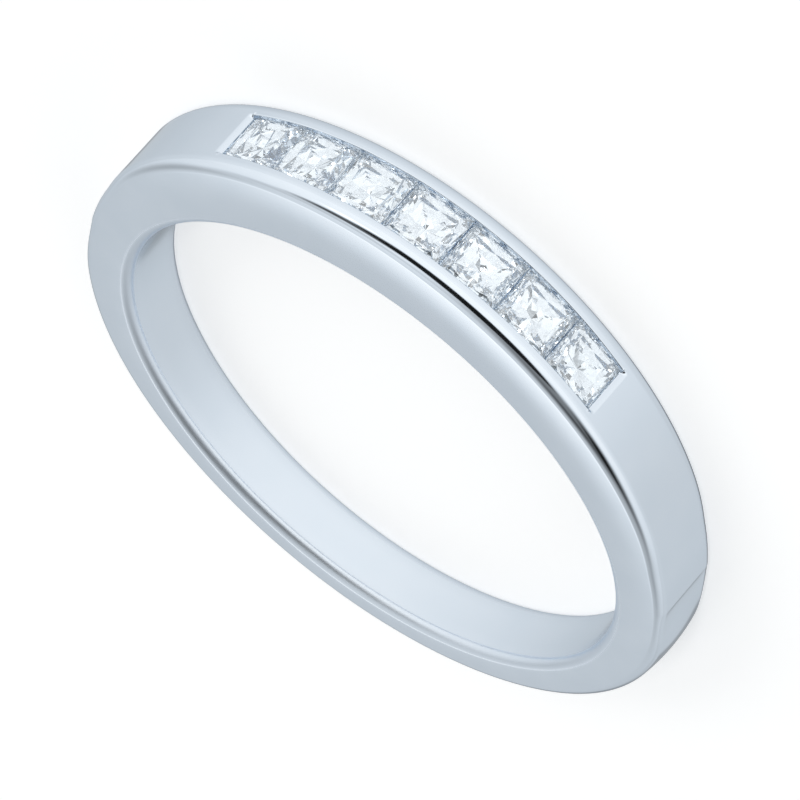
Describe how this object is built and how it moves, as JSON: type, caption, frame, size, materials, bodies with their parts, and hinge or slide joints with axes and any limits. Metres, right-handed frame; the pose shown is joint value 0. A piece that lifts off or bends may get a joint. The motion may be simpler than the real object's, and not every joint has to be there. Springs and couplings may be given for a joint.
{
  "type": "wedding ring",
  "caption": "Channel-set half-eternity ring: a polished band, thickest and widest at its row of square cut stones, which sit flush between two rails.",
  "frame": {"origin": "centre of the finger hole: on its axis, halfway between the two side faces", "axes": "+Z along the finger hole, out of the side face that the picture shows; +Y from the finger hole to the middle stone; +X along the row of stones, so that the row runs from -X to +X"},
  "size_m": [0.0204, 0.021, 0.0028],
  "materials": {
    "white_gold": "polished white gold with a rhodium-bright surface, faint polishing marks",
    "stone": "clear colourless stone with polished facets"
  },
  "bodies": {
    "root": {"band": "white_gold", "stone_1": "stone", "stone_2": "stone", "stone_3": "stone", "stone_4": "stone", "stone_5": "stone", "stone_6": "stone", "stone_7": "stone"}
  },
  "joints": []
}
